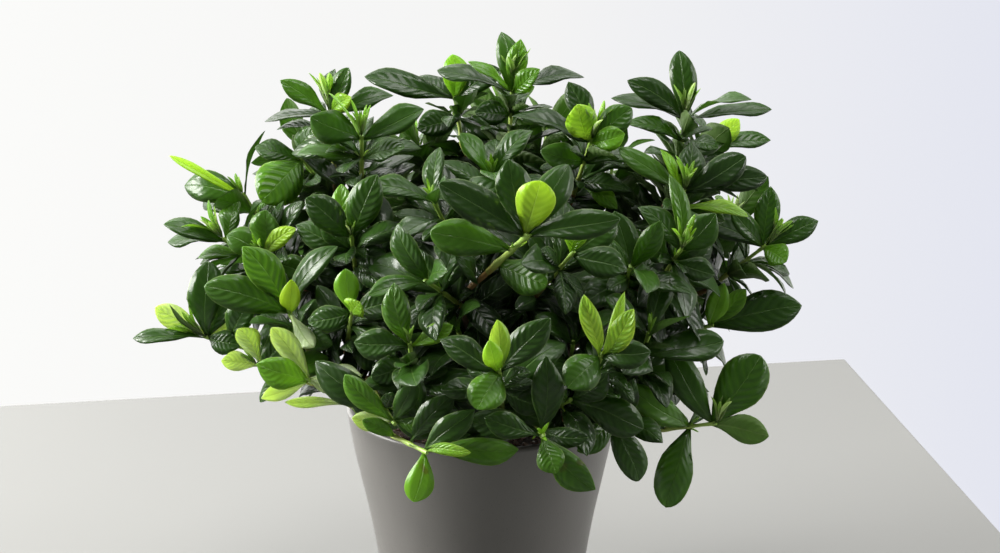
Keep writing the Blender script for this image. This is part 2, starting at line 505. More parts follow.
# A shoot is the limb that carries it, the point of its top leaf joint, its lean, its tuft of new growth
# (0 none to 3 full), and its own leaves. A leaf is (joint, dx, dy, dz, width, show, tone): joint 0 is the
# top one, dx, dy, dz lead to the leaf's tip in millimetres, show turns its upper side (1) or underside
# (-1) to the front, and tone runs from 0, old and dark, to 1, new and lime.
SHOOTS = {
    "shoot_centre_bright": ("front_upper", (30, -130, 343), (0.55, -0.45, 0.65), 0, [
        (0, 9, -12, 39, 27, 1.0, 0.87), (0, -11, 4, 50, 26, 0.9, 0.12), (0, 32, 4, 44, 26, 0.8, 0.12),
        (0, 60, 0, 12, 22, 0.3, 0.15), (0, -56, 2, 34, 28, 0.6, 0.1), (1, -52, -8, 14, 26, 0.9, 0.27),
        (2, 45, -14, -8, 30, 1.0, 0.33)]),
    "shoot_crown_tall": ("crown", (22, 20, 412), (0.05, 0.0, 1.0), 3, [
        (0, -7, 4, 43, 20, 0.9, 0.2), (0, 6, -6, 38, 17, 0.8, 0.4), (0, 21, -12, 18, 18, 0.9, 0.35),
        (0, 50, 2, 17, 22, 0.4, 0.1), (0, -54, 10, 16, 22, 0.4, 0.1), (0, -27, -6, 28, 12, 0.5, 0.4),
        (1, -26, -16, 4, 20, 1.0, 0.1), (1, 24, -14, -4, 18, 0.5, 0.15)]),
    "shoot_crown_left": ("crown", (-20, 58, 402), (-0.15, 0.1, 1.0), 1, [
        (0, 0, -4, 32, 22, 1.0, 0.5), (0, -66, 0, 20, 26, 0.7, 0.12), (0, -31, 10, 16, 20, 0.6, 0.1),
        (0, 34, -6, 22, 24, 0.8, 0.1), (1, -30, -20, -4, 24, 0.9, 0.1), (1, 22, -22, -8, 20, 0.8, 0.15)]),
    "shoot_crown_right": ("crown", (76, -30, 385), (0.25, -0.3, 0.92), 2, [
        (0, -10, -8, 28, 24, 1.0, 0.7), (0, 20, -12, 12, 20, 0.9, 0.45), (0, 27, -4, 26, 23, 0.8, 0.2),
        (0, -15, 14, 40, 20, 0.9, 0.12), (0, -54, -2, 20, 24, 0.2, 0.1), (1, -28, -14, 11, 23, 0.8, 0.2),
        (1, 42, -8, 6, 18, 0.3, 0.15), (2, 34, -16, 2, 18, 0.6, 0.15), (2, 26, -20, -12, 16, 0.7, 0.45)]),
    "shoot_right_top": ("right_upper", (144, 0, 396), (0.1, 0.0, 1.0), 2, [
        (0, -5, 6, 48, 21, 0.9, 0.15), (0, -40, -4, 29, 21, 0.8, 0.1), (0, -49, 4, 22, 20, 0.4, 0.1),
        (0, 46, -6, 16, 22, 0.1, 0.2), (0, 62, 2, 5, 20, 0.3, 0.15), (1, -38, -14, 18, 18, 0.5, 0.2),
        (1, 22, -20, 2, 18, 0.6, 0.2)]),
    "shoot_right_top_back": ("right_upper", (168, 50, 368), (0.6, 0.45, 0.7), 0, [
        (0, 22, -4, 20, 18, 1.0, 0.55), (0, 46, -4, 6, 20, 0.6, 0.15), (0, -14, 18, 26, 18, 0.5, 0.15)]),
    "shoot_right_mid": ("right_upper", (140, -42, 352), (0.15, -0.45, 0.85), 2, [
        (0, -44, -4, 33, 17, 0.6, 0.25), (0, 42, 0, 26, 24, 0.7, 0.05), (0, 58, 6, 10, 22, 0.4, 0.05),
        (0, 8, 8, 34, 22, 0.8, 0.15), (0, -14, -4, 32, 12, 0.5, 0.5), (1, 48, -8, 0, 16, 0.1, 0.6),
        (1, 32, -8, -8, 18, 0.5, 0.15)]),
    "shoot_right_inner": ("right_upper", (134, -84, 322), (0.2, -0.7, 0.65), 2, [
        (0, -26, -6, 32, 18, 0.7, 0.2), (0, -14, 4, 50, 15, 0.5, 0.3), (0, 22, -6, 26, 24, 0.9, 0.2),
        (1, -20, -14, 14, 18, 0.7, 0.2), (1, 26, -14, -4, 20, 0.7, 0.1)]),
    "shoot_right_far": ("right_upper", (200, -22, 308), (0.75, -0.1, 0.65), 2, [
        (0, 4, 2, 44, 20, 1.0, 0.22), (0, -25, -8, 31, 18, 0.8, 0.22), (0, -42, 0, 18, 24, 0.6, 0.1),
        (0, 39, 2, 20, 20, 0.6, 0.15), (0, 14, -18, -6, 20, 1.0, 0.35), (2, 12, -6, -22, 14, 0.5, 0.2)]),
    "shoot_right_broad": ("right_upper", (162, -36, 254), (0.85, -0.3, 0.3), 0, [
        (0, 66, 4, 14, 32, 0.8, 0.15), (0, 8, -10, 34, 18, 1.0, 0.45), (0, 25, -2, 28, 15, 0.9, 0.45),
        (1, -30, -22, 14, 22, 0.6, 0.1)]),
    "shoot_right_low": ("right_lower", (157, -104, 206), (0.93, -0.24, 0.22), 2, [
        (0, 30, -6, 47, 36, 1.0, 0.26), (0, -28, 4, 52, 24, 0.9, 0.2), (0, 38, -6, -7, 22, -0.7, 0.25),
        (1, -40, -25, 36, 22, 0.8, 0.35), (1, -16, -18, -52, 32, 0.9, 0.2), (2, -28, -6, 14, 13, 0.4, 0.15)]),
    "shoot_topleft_high": ("left_upper", (-108, 10, 398), (-0.05, 0.0, 1.0), 3, [
        (0, 15, -4, 34, 18, 0.8, 0.15), (0, 0, 10, 32, 16, 0.7, 0.15), (0, -35, 0, 24, 17, 0.6, 0.25),
        (0, -47, -2, -2, 19, 0.3, 0.1), (0, 45, 4, 14, 20, 0.7, 0.15), (0, 18, -12, 16, 15, 0.9, 0.6),
        (1, -38, -12, 6, 18, 0.3, 0.15)]),
    "shoot_topleft_front": ("left_upper", (-82, -34, 388), (0.05, -0.4, 0.9), 2, [
        (0, -33, -14, 18, 26, 1.0, 0.2), (0, 43, -2, 22, 24, 0.7, 0.2), (0, -22, -8, 34, 12, -0.2, 0.5),
        (1, -44, -8, 4, 22, 0.2, 0.25), (1, -52, 4, 14, 22, 0.4, 0.2), (1, 32, -18, 10, 20, 0.6, 0.2)]),
    "shoot_left_glossy": ("left_upper", (-87, -72, 328), (0.0, -0.6, 0.75), 1, [
        (0, 18, -8, 44, 25, 1.0, 0.22), (0, -6, -4, 36, 17, 0.4, 0.45), (0, -30, -4, 28, 24, 0.8, 0.15),
        (1, -38, 0, 20, 22, 0.5, 0.2), (1, 24, -16, -4, 22, 0.7, 0.15)]),
    "shoot_left_veined": ("left_upper", (-128, 6, 366), (-0.5, -0.3, 0.8), 0, [
        (0, -26, -32, -24, 36, 1.0, 0.34), (0, -34, 0, 9, 20, 0.5, 0.2), (0, 10, -20, 26, 20, 0.7, 0.2)]),
    "shoot_left_thin": ("left_upper", (-172, 14, 337), (-0.5, 0.0, 0.85), 1, [
        (0, -52, -4, 32, 9, 0.4, 0.75), (0, -46, 4, 9, 26, 0.9, 0.2), (0, 18, 0, 48, 11, -0.1, 0.12),
        (1, 20, -22, 10, 22, 0.7, 0.3)]),
    "shoot_left_tuft": ("left_upper", (-180, -26, 314), (-0.65, -0.2, 0.65), 2, [
        (0, -43, -4, 12, 20, 0.3, 0.2), (1, -32, -2, 2, 15, 0.3, 0.35), (0, 8, 12, 26, 20, 0.7, 0.3)]),
    "shoot_left_bend": ("left_upper", (-150, -52, 312), (-0.4, -0.6, 0.65), 1, [
        (0, 4, -6, 32, 24, 1.0, 0.25), (0, -24, -8, 18, 24, 0.7, 0.25), (1, 24, -16, -4, 22, 0.8, 0.25),
        (0, 21, -18, 21, 14, 1.0, 0.85)]),
    "shoot_left_fan": ("left_lower", (-128, -92, 281), (-0.25, -0.45, 0.85), 0, [
        (0, -27, -10, 48, 25, 1.0, 0.36), (0, 4, -14, 26, 16, 1.0, 0.9), (0, -53, -14, 22, 26, 0.9, 0.25),
        (0, 33, -6, 48, 22, 0.4, 0.2), (0, 18, -18, -20, 15, -0.8, 0.6), (1, 26, -18, -6, 20, 0.7, 0.2)]),
    "shoot_left_round": ("left_lower", (-84, -114, 288), (0.15, -0.6, 0.75), 0, [
        (0, -3, -4, 30, 18, 1.0, 0.45), (0, 6, -14, 10, 18, 1.0, 0.65), (0, 38, -4, 12, 24, 0.6, 0.2),
        (0, -28, -6, -6, 20, 0.6, 0.2), (1, 30, -12, -16, 22, 0.8, 0.15),
        (1, -22, 16, -8, 20, 0.5, 0.12), (2, 22, -14, -16, 20, 0.7, 0.12)]),
    "shoot_sweep_tip": ("left_lower", (-187, -75, 258), (-0.95, 0.05, 0.28), 2, [
        (0, -51, -4, 2, 15, 0.2, 0.15), (0, -35, -6, 27, 20, -0.6, 0.58), (0, 3, 4, 52, 26, 1.0, 0.15),
        (0, 27, 8, 42, 26, 0.9, 0.15), (0, 22, -6, 20, 16, -0.9, 0.6), (0, 24, -14, -1, 20, 0.8, 0.15),
        (1, 14, -6, 38, 22, 0.9, 0.2), (0, -40, 2, 20, 9, 0.0, 0.1)]),
    "shoot_sweep_mid": ("left_lower", (-149, -90, 243), (-0.93, 0.1, 0.32), 1, [
        (0, -13, -8, 29, 18, -0.9, 0.6), (0, -26, -6, 6, 16, -0.8, 0.6), (0, 26, 4, 28, 24, 0.9, 0.2),
        (0, 8, 14, 34, 24, 0.8, 0.15), (1, -16, -10, -16, 12, 0.6, 0.2), (1, 30, -2, 12, 20, 0.9, 0.3),
        (1, -6, 14, 30, 20, 0.8, 0.15)]),
    "shoot_sweep_base": ("left_lower", (-114, -112, 240), (-0.75, -0.25, 0.6), 0, [
        (0, -33, -8, 14, 24, 1.0, 0.45), (0, -23, -4, 39, 18, -0.9, 0.6), (0, 36, -8, 5, 17, -0.9, 0.6),
        (0, 15, -10, -8, 13, -0.8, 0.6), (0, -31, -12, -8, 13, -0.9, 0.62), (2, 28, -12, 2, 15, 0.9, 0.62),
        (2, -42, -8, 4, 9, -0.8, 0.6)]),
    "shoot_front_small": ("front_low_left", (-45, -132, 270), (-0.05, -0.3, 0.95), 1, [
        (0, -10, -4, 42, 20, 1.0, 0.3), (0, 28, -6, 16, 15, 0.8, 0.5), (0, -36, -4, 4, 24, 0.7, 0.2),
        (1, 4, -14, -26, 17, 0.9, 0.2), (1, -24, -16, -2, 22, 0.8, 0.15)]),
    "shoot_front_pair": ("front_low_right", (13, -160, 262), (-0.05, -0.45, 0.85), 0, [
        (0, -2, -2, 36, 15, 1.0, 0.6), (0, -6, -12, 24, 14, 1.0, 0.75), (0, -14, -20, -18, 26, 1.0, 0.34),
        (0, -36, -4, 24, 20, 0.6, 0.15), (0, 32, 0, 36, 22, 0.7, 0.15), (1, 26, -14, -8, 20, 0.7, 0.1)]),
    "shoot_front_bright": ("front_low_right", (78, -142, 266), (0.2, -0.35, 0.9), 0, [
        (0, -11, -4, 44, 15, 0.9, 0.66), (0, 15, 6, 42, 9, 0.5, 0.66), (0, 18, -10, 34, 18, 1.0, 0.62),
        (0, -22, -22, -18, 28, 1.0, 0.22), (0, 30, -10, 6, 22, 0.8, 0.15), (1, 38, 4, 20, 20, 0.5, 0.15),
        (1, -14, 16, -22, 20, 0.5, 0.1)]),
    "shoot_front_veined": ("front_upper", (60, -110, 326), (0.5, -0.4, 0.75), 0, [
        (0, 4, -6, 22, 17, 1.0, 0.5), (0, 36, -10, -6, 24, 0.8, 0.15), (0, 30, 4, 20, 22, 0.5, 0.2),
        (1, -20, -18, 2, 18, 0.8, 0.15)]),
    "shoot_rim_left": ("front_low_left", (-35, -164, 210), (0.6, -0.75, 0.0), 0, [
        (0, -7, -10, -31, 20, 1.0, 0.42), (0, 60, -4, -1, 21, 0.9, 0.3), (0, 32, -6, 28, 20, 0.7, 0.2),
        (0, 32, -10, 14, 10, 0.7, 0.6), (2, -20, -6, 18, 13, 0.8, 0.35)]),
    "shoot_rim_right": ("front_low_right", (40, -168, 222), (0.05, -0.95, 0.2), 1, [
        (0, -37, -4, 14, 20, 0.8, 0.2), (0, 9, -14, -20, 20, 1.0, 0.3), (0, 34, -8, -34, 24, 1.0, 0.26)]),
    "shoot_rim_low_right": ("front_low_right", (58, -146, 238), (0.3, -0.8, 0.5), 0, [
        (0, 48, -6, -18, 26, 0.9, 0.15), (0, -16, -10, 12, 18, 0.6, 0.3), (0, 24, -8, 20, 20, 0.7, 0.15)]),
    "shoot_rim_far_right": ("right_lower", (88, -132, 222), (0.1, -0.9, 0.3), 0, [
        (0, 18, -10, -42, 22, 0.9, 0.15), (0, -20, -12, 14, 22, 0.7, 0.1),
        (1, -24, -8, -16, 20, 0.7, 0.12), (1, -22, 8, 18, 18, 0.5, 0.1), (1, 12, 14, -26, 18, 0.5, 0.1)]),
    "shoot_rim_far_left": ("front_low_left", (-56, -142, 222), (0.35, -0.75, -0.25), 0, [
        (0, -31, -2, 32, 18, 0.9, 0.42), (0, -27, -2, 3, 15, -0.7, 0.6), (0, 14, -8, 32, 16, 0.8, 0.2),
        (0, 25, -8, -2, 12, 0.8, 0.35)]),
    "shoot_dome_left": ("front_upper", (-30, -70, 350), (-0.35, -0.35, 0.9), 1, []),
    "shoot_dome_mid": ("crown", (8, -56, 366), (0.0, -0.5, 0.85), 1, []),
    "shoot_dome_right": ("right_upper", (100, -92, 312), (0.0, -0.75, 0.6), 0, []),
    "shoot_dome_low_left": ("front_upper", (-34, -112, 308), (-0.6, -0.5, 0.6), 0, []),
    "shoot_dome_low_right": ("right_lower", (112, -104, 268), (0.2, -0.3, 0.9), 1, []),
    "shoot_dome_centre": ("front_upper", (-14, -96, 268), (-0.3, -0.3, 0.85), 0, []),
    "shoot_dome_low_front": ("front_low_right", (62, -104, 262), (0.1, -0.3, 0.95), 0, []),
    "shoot_crown_back": ("crown", (48, 62, 370), (0.35, 0.45, 0.85), 1, []),
    "shoot_back_top_left": ("crown", (-48, 84, 360), (-0.5, 0.5, 0.75), 2, []),
    "shoot_back_top": ("back_upper", (14, 128, 372), (0.1, 0.5, 0.85), 2, []),
    "shoot_back_top_right": ("right_upper", (98, 62, 350), (0.1, 0.3, 0.9), 1, []),
    "shoot_back_left_high": ("left_upper", (-132, 72, 356), (-0.4, 0.65, 0.65), 2, []),
    "shoot_back_left_low": ("back_left", (-172, 78, 270), (-0.85, 0.1, 0.5), 1, []),
    "shoot_back_mid_left": ("back_upper", (-72, 150, 326), (-0.55, 0.55, 0.6), 2, []),
    "shoot_back_mid": ("back_upper", (8, 184, 306), (0.0, 0.85, 0.55), 2, []),
    "shoot_back_mid_right": ("back_upper", (84, 160, 306), (0.6, 0.65, 0.5), 1, []),
    "shoot_back_right_high": ("right_upper", (186, 76, 300), (0.7, 0.6, 0.4), 2, []),
    "shoot_back_right_low": ("back_right", (172, 84, 248), (0.85, 0.0, 0.5), 1, []),
    "shoot_back_low_left": ("back_left", (-122, 146, 250), (-0.5, 0.75, 0.4), 2, []),
    "shoot_back_low": ("back_left", (-42, 168, 240), (0.5, 0.8, 0.3), 1, []),
    "shoot_back_low_right": ("back_right", (94, 158, 236), (0.1, 0.9, 0.35), 1, []),
}


def twig_of(shoot):
    """(base, top, way) of a green shoot's stem. Its top leaf joint is a little under its top."""
    joint, lean = SHOOTS[shoot][1:3]
    way = Vector(lean).normalized()
    top = Vector(joint) * MM + way * TWIG_LENGTH * JOINTS[0]["down"]
    return top - way * TWIG_LENGTH, top, way


def branch_lines(limbs, samples):
    """Shoot name: the line of the brown branch from its limb to its green base."""
    lines = {}
    for shoot, (limb, *_rest) in SHOOTS.items():
        base, _top, way = twig_of(shoot)
        start, start_way = fork_on(limbs[limb], base)
        end = base - way * GAP
        lines[shoot] = bow(start, start_way, end - way * BRANCH_END, way, samples) + [end]
    return lines


# ================================================================ how the leaves find room
# A shrub's leaves turn on their stems until each has its own light. Here every leaf starts from the
# way that its shoot gives it, and then turns, tips or stays smaller until it touches no other.
BRANCH_LEAF_OPEN = 62  # degrees off the branch
# Older leaves sit on the brown branches, as (share of the branch, degrees round it).
BRANCH_LEAVES = [(0.92, 0), (0.64, 130), (0.38, 250)]
BRANCH_LEAF_LENGTH = 52 * MM
SHORTEST_LEAFY_BRANCH = 26 * MM
# Shoots whose branches and stems carry no shaded leaves, to keep the view of them open.
BARE_SHOOTS = ("shoot_sweep_tip", "shoot_sweep_mid", "shoot_sweep_base", "shoot_centre_bright",
               "shoot_right_low", "shoot_rim_left", "shoot_rim_right", "shoot_left_thin")
# Shaded leaves: their lengths in turn, and the shares of each stem at which pairs of them stand.
INNER_LENGTHS = (50 * MM, 42 * MM, 34 * MM)
INNER_ON_BRANCH = (0.25, 0.5, 0.78, 0.97)
INNER_ON_TWIG = (0.22, 0.6)
INNER_ON_LIMB = (0.35, 0.5, 0.62, 0.74, 0.85, 0.95)
FRONT = Vector((0.0, -1.0, 0.3))
LEAF_SLENDERNESS = 2.15
LEAF_RINGS = (0.36, 0.74)  # shares of the length at which its room is measured
LEAF_THICKNESS = 1.5 * MM
LEAF_ARCH = 0.09
LEAF_FOLD = 14.0  # degrees
LEAF_CLEARANCE = 1.2 * MM
OWN_CLEAR_FROM = 0.3  # from this share of its length a leaf clears its own stem too
TRIES = 60
TURN_MOST = 1.3  # radians about its stem
TIP_MOST = 0.9  # radians up or down it
SHORTEST = 0.62  # share of the wished size
HANG_LIMIT = 205 * MM  # the lowest edge of shaded leaves
SKIRT_HEIGHT = 187 * MM
SKIRT_TO_FRONT = 0.36  # rise to the front
SKIRT_TO_MIDDLE = 0.65  # fall to the right of where the open side ends
SKIRT_TO_LEFT = 0.75  # rise beyond the long limb's tip
OUTSIDE = 120 * MM  # from the middle, where the light comes fully from the side
# Pulls on a leaf's face against its shoot's own way.
SKYWARD = 0.55
FRONTWARD = 1.5
JOINT_TURN = math.radians(55)
FORM_PEAK = 0.300  # the greatest of t ** 1.1 * (1 - t) ** 0.7


class Leaf:
    """The room that a blade takes, from its joint on the wood to its tip."""

    def __init__(self, base, tip, width, face):
        self.base = base
        self.length = (tip - base).length
        self.width = width
        self.along = (tip - base).normalized()
        self.across = face.cross(self.along).normalized()
        self.face = self.along.cross(self.across).normalized()
        self.tone = 0.1
        self.inner = False

    def half_width(self, t):
        """Half the width at a share of the length."""
        return 0.5 * self.width * (t ** 1.1) * ((1.0 - t) ** 0.7) / FORM_PEAK

    def at(self, t, side, lift):
        """The point a share t along, side from -1 to 1 across, lift metres above the blade."""
        out = side * self.half_width(t)
        rise = 4 * LEAF_ARCH * self.length * t * (1 - t) + abs(out) * math.tan(math.radians(LEAF_FOLD))
        return self.base + self.along * self.length * t + self.across * out + self.face * (rise + lift)

    def tree(self, grow=0.0, start=0.0):
        """The blade's surface, grown on all sides, from a share of its length to its tip."""
        thick = LEAF_THICKNESS / 2 + grow
        widen = 1.0 + 2 * grow / self.width
        points = [self.at(start, 0, 0)]
        for t in LEAF_RINGS:
            corners = ((widen, 0), (0, thick), (-widen, 0), (0, -thick))
            points += [self.at(t, side, lift) for side, lift in corners]
        points.append(self.at(1, 0, 0) + self.along * grow)
        end = len(points) - 5
        faces = []
        for k in range(4):
            n = (k + 1) % 4
            faces.append((0, 1 + n, 1 + k))
            faces += [(ring + k, ring + n, ring + 4 + n, ring + 4 + k) for ring in range(1, end, 4)]
            faces.append((end + k, end + n, end + 4))
        return BVHTree.FromPolygons(points, faces)

    def edge(self):
        """Points on the blade's margin."""
        return [self.at(t, side, 0) for t in (*LEAF_RINGS, 0.99) for side in (-1, 1)]

    def hangs(self):
        """Whether the blade hangs lower than the foliage's lower edge."""
        return any(point.z < skirt(point.x, point.y) for point in self.edge())

    def in_planter(self):
        """Whether the blade hangs over the mix and below the rim."""
        rim = RIM_RADIUS + LEAF_CLEARANCE
        return any(p.z < RIM_HEIGHT + 2 * LEAF_CLEARANCE and math.hypot(p.x, p.y) < rim for p in self.edge())


def skirt(x, y):
    """How low shaded leaves hang: higher over the rim's left, where the long low limb leaves it open."""
    if y >= 20 * MM:
        return HANG_LIMIT
    fall = SKIRT_TO_MIDDLE * min(max(x + 100 * MM, 0.0), 60 * MM)
    rise = SKIRT_TO_LEFT * max(0.0, -x - 140 * MM)
    return max(HANG_LIMIT, SKIRT_HEIGHT - SKIRT_TO_FRONT * y - fall + rise)


def stick_tree(line, radii):
    """The surface of a six-sided stick along a line. radii are in millimetres, start to end."""
    points, faces = [], []
    for i, place in enumerate(line):
        way = (line[min(i + 1, len(line) - 1)] - line[max(i - 1, 0)]).normalized()
        aside = way.cross(UP if abs(way.z) < 0.9 else Vector((1, 0, 0))).normalized()
        radius = (radii[0] + (radii[1] - radii[0]) * i / (len(line) - 1)) * MM * 1.15
        points += [place + Matrix.Rotation(math.tau * k / 6, 3, way) @ aside * radius for k in range(6)]
        if i:
            faces += [(6 * i - 6 + k, 6 * i - 6 + (k + 1) % 6, 6 * i + (k + 1) % 6, 6 * i + k)
                      for k in range(6)]
    return BVHTree.FromPolygons(points, faces)


def facing(base, way, along, show):
    """The side that a blade turns up: to the shoot's end, the sky and the light around the shrub."""
    outside = Vector((base.x, base.y, 0)) / OUTSIDE
    light = way + UP * SKYWARD + outside * min(1.0, 1.0 / max(outside.length, 1e-6))
    light = light * (1 - abs(show)) + FRONT * FRONTWARD * show
    return (light - along * light.dot(along)).normalized()


def turned_leaf(wish, turn, tip_up, size):
    """The wished leaf, turned about its stem, tipped towards the stem's end and resized."""
    reach = Matrix.Rotation(turn, 3, wish["way"]) @ wish["offset"]
    side = reach.cross(wish["way"])
    if side.length > 1e-6:
        reach = Matrix.Rotation(tip_up, 3, side.normalized()) @ reach
    reach = reach * size
    face = facing(wish["base"], wish["way"], reach.normalized(), wish["show"])
    return Leaf(wish["base"], wish["base"] + reach, wish["width"] * size, face)


def settle(wish, others, own, rng):
    """The first pose near the wished one that touches nothing, or None where there is no room."""
    for attempt in range(TRIES):
        ease = attempt / TRIES
        turn = rng.uniform(-1, 1) * TURN_MOST * ease
        tip_up = rng.uniform(-1, 1) * TIP_MOST * ease
        leaf = turned_leaf(wish, turn, tip_up, 1.0 - (1.0 - SHORTEST) * ease * rng.random())
        if leaf.in_planter() or wish["fills"] and leaf.hangs():
            continue
        room = leaf.tree(LEAF_CLEARANCE)
        if any(room.overlap(tree) for tree in others):
            continue
        beyond_foot = leaf.tree(LEAF_CLEARANCE / 2, OWN_CLEAR_FROM)
        if not any(beyond_foot.overlap(tree) for tree in own):
            return leaf
    return None


def wish_leaf(base, way, open_angle, spin, length, tone, rng):
    """A leaf at an angle off its stem, spun round it, with a little chance in its size."""
    out = Matrix.Rotation(spin, 3, way) @ way.orthogonal().normalized()
    lean = math.radians(open_angle + rng.uniform(-9, 9))
    length *= rng.uniform(0.82, 1.12)
    return {"base": base, "way": way, "show": 0.0, "fills": True, "tone": tone,
            "offset": (way * math.cos(lean) + out * math.sin(lean)) * length,
            "width": length / LEAF_SLENDERNESS * rng.uniform(0.9, 1.1)}


def shoot_wishes(shoot, rng):
    """The leaves that a shoot should have: its own, and then others that fill its joints."""
    own = SHOOTS[shoot][4]
    base, top, way = twig_of(shoot)
    places = [top.lerp(base, joint["down"]) for joint in JOINTS]
    wishes = [{"base": places[j], "way": way, "offset": Vector((x, y, z)) * MM, "width": width * MM,
               "show": show, "fills": False, "tone": tone} for j, x, y, z, width, show, tone in own]
    start = rng.uniform(0, math.tau)
    for j, joint in enumerate(JOINTS):
        missing = max(0, joint["leaves"] - [leaf[0] for leaf in own].count(j))
        for k in range(missing):
            spin = start + math.tau * k / joint["leaves"] + JOINT_TURN * j
            wishes.append(wish_leaf(places[j], way, joint["open"], spin, joint["length"], joint["tone"], rng))
    return wishes[:max(LEAVES_PER_SHOOT, len(own))]


def branch_wishes(line, rng):
    """The older leaves that a brown branch should have, if it is long enough."""
    length = sum((b - a).length for a, b in zip(line, line[1:]))
    if length < SHORTEST_LEAFY_BRANCH:
        return []
    wishes = []
    for share, degrees in BRANCH_LEAVES:
        base, way = line_at(line, share)
        spin = math.radians(degrees)
        wishes.append(wish_leaf(base, way, BRANCH_LEAF_OPEN, spin, BRANCH_LEAF_LENGTH, 0.05, rng))
    return wishes


def inner_wishes(line, shares, length, tone, rng):
    """Leaves in the shade, along any stem, two to a joint."""
    wishes = []
    for share in shares:
        base, way = line_at(line, share)
        spin = rng.uniform(0, math.tau)
        for turn in (0.0, math.pi):
            wish = wish_leaf(base, way, rng.uniform(50, 85), spin + turn, length, tone, rng)
            wish["inner"] = True
            wishes.append(wish)
    return wishes


def grow_leaves(limbs, branches):
    """(shoot leaves, branch leaves, limb leaves), each a dict of name: settled leaves."""
    wood = {"limb_" + name: stick_tree(line, LIMB_RADII) for name, line in limbs.items()}
    wood.update({"branch_" + name: stick_tree(line, BRANCH_RADII) for name, line in branches.items()})
    wood.update({"twig_" + name: stick_tree(twig_of(name)[:2], TWIG_RADII) for name in SHOOTS})
    rngs = {name: random.Random(1000 + i) for i, name in enumerate(SHOOTS)}
    wishes = {name: shoot_wishes(name, rngs[name]) for name in SHOOTS}
    older = {name: branch_wishes(branches[name], rngs[name]) for name in SHOOTS}
    grown = {name: [] for name in [*SHOOTS, *limbs]}

    def try_leaf(name, wish, carrier, rng):
        """Grows the wished leaf on its shoot, branch or limb, if it finds room."""
        near = {"branch_" + name, "twig_" + name} if carrier == "twig" else {carrier + "_" + name}
        others = [tree for stick, tree in wood.items() if stick not in near]
        others += [tree for other in grown if other != name for _leaf, tree, _old in grown[other]]
        own = [wood[stick] for stick in near] + [tree for _leaf, tree, _old in grown[name]]
        leaf = settle(wish, others, own, rng)
        if leaf:
            leaf.tone = wish["tone"]
            leaf.inner = wish.get("inner", False)
            grown[name].append((leaf, leaf.tree(), carrier))

    for rank in range(max(len(w) for w in wishes.values())):
        for name in SHOOTS:
            if rank < len(wishes[name]):
                try_leaf(name, wishes[name][rank], "twig", rngs[name])
    for rank in range(len(BRANCH_LEAVES)):
        for name in SHOOTS:
            if rank < len(older[name]):
                try_leaf(name, older[name][rank], "branch", rngs[name])
    rng = random.Random(77)
    leafy = [name for name in SHOOTS if name not in BARE_SHOOTS]
    for length in INNER_LENGTHS:
        for name in leafy:
            for wish in inner_wishes(branches[name], INNER_ON_BRANCH, length, 0.06, rng):
                try_leaf(name, wish, "branch", rng)
        for name in leafy:
            for wish in inner_wishes(twig_of(name)[:2], INNER_ON_TWIG, length * 0.8, 0.15, rng):
                try_leaf(name, wish, "twig", rng)
        for name in limbs:
            for wish in inner_wishes(limbs[name], INNER_ON_LIMB, length * 1.1, 0.03, rng):
                try_leaf(name, wish, "limb", rng)
    return [{name: [leaf for leaf, _tree, held in leaves if held == carrier]
             for name, leaves in grown.items()} for carrier in ("twig", "branch", "limb")]


# ================================================================ blades and stems
# A gardenia's leaf is one thick glossy blade on a very short stalk, folded a little along its midrib
# and arched from foot to tip. Stems are round, with a swelling at every leaf joint.
SIZES = {"Rows": 11, "Columns": 4, "Inner Rows": 7, "Inner Columns": 2, "Thickness": 0.55 * MM, "Sides": 8}
ROWS_TO_TIP = 1.6  # above 1, the rows crowd towards the tip
STALK_HALF_WIDTH = 0.9 * MM
STALK_SHARE = 0.12  # the stalk's half width is at most this share of the blade's width
BLADE_SHARE = 0.475  # the blade's half width where it is widest, as a share of its width
RIB_COLUMN = 0.1
UPPER, UNDER, STEM = 1.0, 2.0, 3.0  # the sides that take a finish of their own
VECTORS = ("foot", "along", "across", "face")
NUMBERS = ("length", "width", "bulge", "fold", "arch", "droop", "blunt", "bend", "roll", "wave", "phase",
           "tone", "chance", "quilt", "mark", "inner", "radius", "age")
SEEN = ("tone", "chance", "quilt", "mark", "age")  # what the finishes read


def named(tree, name, kind="FLOAT"):
    """A named attribute of the points."""
    return Value(tree, step(tree, "InputNamedAttribute", "Attribute", {"data_type": kind}, Name=name))


def stored(tree, geometry, name, value, domain="POINT"):
    """The geometry with a number stored on it by name."""
    kind = {"data_type": "FLOAT", "domain": domain}
    return step(tree, "StoreNamedAttribute", "Geometry", kind, Geometry=geometry, Name=name, Value=value)


def joined(tree, *geometries):
    """All the geometries as one."""
    node = add(tree, "GeometryNodeJoinGeometry")
    for geometry in geometries:
        tree.links.new(geometry, node.inputs["Geometry"])
    return node.outputs["Geometry"]


